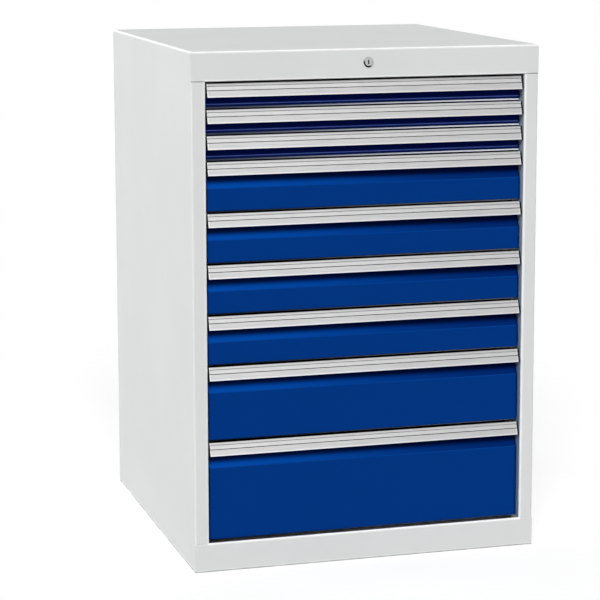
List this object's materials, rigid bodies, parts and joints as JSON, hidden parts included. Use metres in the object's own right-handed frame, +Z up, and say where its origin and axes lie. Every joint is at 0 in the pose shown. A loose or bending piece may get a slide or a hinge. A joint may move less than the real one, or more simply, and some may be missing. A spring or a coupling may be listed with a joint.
{
  "type": "drawer cabinet",
  "caption": "Free-standing sheet-steel drawer cabinet: low and tall blue drawers on full-extension roller rails, aluminium grips, rear locking bar and a key lock.",
  "frame": {"origin": "middle of the cabinet's footprint, on the floor", "axes": "+X to the right seen from the front, +Y to the rear (the drawers open towards -Y), +Z up"},
  "size_m": [0.705, 0.738, 1.019],
  "materials": {
    "grey_paint": "light grey powder coat, fine texture, satin",
    "blue_paint": "blue powder coat, fine texture, satin",
    "drawer_steel": "grey painted sheet steel",
    "zinc_steel": "zinc-plated sheet steel",
    "bright_steel": "bright drawn steel",
    "aluminium": "satin anodised extrusion with a pale label strip and black end caps",
    "chrome": "polished",
    "chrome_core": "satin"
  },
  "bodies": {
    "cabinet": {"left_side_panel": "grey_paint", "right_side_panel": "grey_paint", "top_cover": "grey_paint", "base_pan": "grey_paint", "back_panel": "grey_paint", "front_uprights": "zinc_steel", "rear_uprights": "zinc_steel", "left_fixed_rails": "zinc_steel", "right_fixed_rails": "zinc_steel", "lock_cylinder": "chrome", "lock_nut": "chrome", "lock_guides": "zinc_steel"},
    "lock": {"lock_core": "chrome_core", "lock_shaft": "bright_steel"},
    "lock_bar": {"lock_bar": "zinc_steel"},
    "drawer_1": {"drawer_1_front": "blue_paint", "drawer_1_box": "drawer_steel", "drawer_1_grip": "aluminium", "drawer_1_rails": "zinc_steel"},
    "middle_rails_1": {"drawer_1_middle_rails": "zinc_steel"},
    "drawer_2": {"drawer_2_front": "blue_paint", "drawer_2_box": "drawer_steel", "drawer_2_grip": "aluminium", "drawer_2_rails": "zinc_steel"},
    "middle_rails_2": {"drawer_2_middle_rails": "zinc_steel"},
    "drawer_3": {"drawer_3_front": "blue_paint", "drawer_3_box": "drawer_steel", "drawer_3_grip": "aluminium", "drawer_3_rails": "zinc_steel"},
    "middle_rails_3": {"drawer_3_middle_rails": "zinc_steel"},
    "drawer_4": {"drawer_4_front": "blue_paint", "drawer_4_box": "drawer_steel", "drawer_4_grip": "aluminium", "drawer_4_rails": "zinc_steel"},
    "middle_rails_4": {"drawer_4_middle_rails": "zinc_steel"},
    "drawer_5": {"drawer_5_front": "blue_paint", "drawer_5_box": "drawer_steel", "drawer_5_grip": "aluminium", "drawer_5_rails": "zinc_steel"},
    "middle_rails_5": {"drawer_5_middle_rails": "zinc_steel"},
    "drawer_6": {"drawer_6_front": "blue_paint", "drawer_6_box": "drawer_steel", "drawer_6_grip": "aluminium", "drawer_6_rails": "zinc_steel"},
    "middle_rails_6": {"drawer_6_middle_rails": "zinc_steel"},
    "drawer_7": {"drawer_7_front": "blue_paint", "drawer_7_box": "drawer_steel", "drawer_7_grip": "aluminium", "drawer_7_rails": "zinc_steel"},
    "middle_rails_7": {"drawer_7_middle_rails": "zinc_steel"},
    "drawer_8": {"drawer_8_front": "blue_paint", "drawer_8_box": "drawer_steel", "drawer_8_grip": "aluminium", "drawer_8_rails": "zinc_steel"},
    "middle_rails_8": {"drawer_8_middle_rails": "zinc_steel"},
    "drawer_9": {"drawer_9_front": "blue_paint", "drawer_9_box": "drawer_steel", "drawer_9_grip": "aluminium", "drawer_9_rails": "zinc_steel"},
    "middle_rails_9": {"drawer_9_middle_rails": "zinc_steel"}
  },
  "joints": [
    {"name": "drawer_1_slide", "type": "slide", "parent": "cabinet", "child": "drawer_1", "axis": [0, -1, 0], "range_m": [0, 0.6]},
    {"name": "middle_rails_1_slide", "type": "slide", "parent": "cabinet", "child": "middle_rails_1", "axis": [0, -1, 0], "range_m": [0, 0.3]},
    {"name": "drawer_2_slide", "type": "slide", "parent": "cabinet", "child": "drawer_2", "axis": [0, -1, 0], "range_m": [0, 0.6]},
    {"name": "middle_rails_2_slide", "type": "slide", "parent": "cabinet", "child": "middle_rails_2", "axis": [0, -1, 0], "range_m": [0, 0.3]},
    {"name": "drawer_3_slide", "type": "slide", "parent": "cabinet", "child": "drawer_3", "axis": [0, -1, 0], "range_m": [0, 0.6]},
    {"name": "middle_rails_3_slide", "type": "slide", "parent": "cabinet", "child": "middle_rails_3", "axis": [0, -1, 0], "range_m": [0, 0.3]},
    {"name": "drawer_4_slide", "type": "slide", "parent": "cabinet", "child": "drawer_4", "axis": [0, -1, 0], "range_m": [0, 0.6]},
    {"name": "middle_rails_4_slide", "type": "slide", "parent": "cabinet", "child": "middle_rails_4", "axis": [0, -1, 0], "range_m": [0, 0.3]},
    {"name": "drawer_5_slide", "type": "slide", "parent": "cabinet", "child": "drawer_5", "axis": [0, -1, 0], "range_m": [0, 0.6]},
    {"name": "middle_rails_5_slide", "type": "slide", "parent": "cabinet", "child": "middle_rails_5", "axis": [0, -1, 0], "range_m": [0, 0.3]},
    {"name": "drawer_6_slide", "type": "slide", "parent": "cabinet", "child": "drawer_6", "axis": [0, -1, 0], "range_m": [0, 0.6]},
    {"name": "middle_rails_6_slide", "type": "slide", "parent": "cabinet", "child": "middle_rails_6", "axis": [0, -1, 0], "range_m": [0, 0.3]},
    {"name": "drawer_7_slide", "type": "slide", "parent": "cabinet", "child": "drawer_7", "axis": [0, -1, 0], "range_m": [0, 0.6]},
    {"name": "middle_rails_7_slide", "type": "slide", "parent": "cabinet", "child": "middle_rails_7", "axis": [0, -1, 0], "range_m": [0, 0.3]},
    {"name": "drawer_8_slide", "type": "slide", "parent": "cabinet", "child": "drawer_8", "axis": [0, -1, 0], "range_m": [0, 0.6]},
    {"name": "middle_rails_8_slide", "type": "slide", "parent": "cabinet", "child": "middle_rails_8", "axis": [0, -1, 0], "range_m": [0, 0.3]},
    {"name": "drawer_9_slide", "type": "slide", "parent": "cabinet", "child": "drawer_9", "axis": [0, -1, 0], "range_m": [0, 0.6]},
    {"name": "middle_rails_9_slide", "type": "slide", "parent": "cabinet", "child": "middle_rails_9", "axis": [0, -1, 0], "range_m": [0, 0.3]},
    {"name": "lock_turn", "type": "hinge", "parent": "cabinet", "child": "lock", "pos_m": [0, -0.36, 0.992], "axis": [0, 1, 0], "range_deg": [0, 90]},
    {"name": "lock_bar_lift", "type": "slide", "parent": "cabinet", "child": "lock_bar", "axis": [0, 0, 1], "range_m": [0, 0.0142]}
  ],
  "couplings": [
    {"joint": "middle_rails_1_slide", "follows": "drawer_1_slide", "ratio": 0.5},
    {"joint": "middle_rails_2_slide", "follows": "drawer_2_slide", "ratio": 0.5},
    {"joint": "middle_rails_3_slide", "follows": "drawer_3_slide", "ratio": 0.5},
    {"joint": "middle_rails_4_slide", "follows": "drawer_4_slide", "ratio": 0.5},
    {"joint": "middle_rails_5_slide", "follows": "drawer_5_slide", "ratio": 0.5},
    {"joint": "middle_rails_6_slide", "follows": "drawer_6_slide", "ratio": 0.5},
    {"joint": "middle_rails_7_slide", "follows": "drawer_7_slide", "ratio": 0.5},
    {"joint": "middle_rails_8_slide", "follows": "drawer_8_slide", "ratio": 0.5},
    {"joint": "middle_rails_9_slide", "follows": "drawer_9_slide", "ratio": 0.5},
    {"joint": "lock_bar_lift", "follows": "lock_turn", "m_per_rad": 0.0090032}
  ]
}
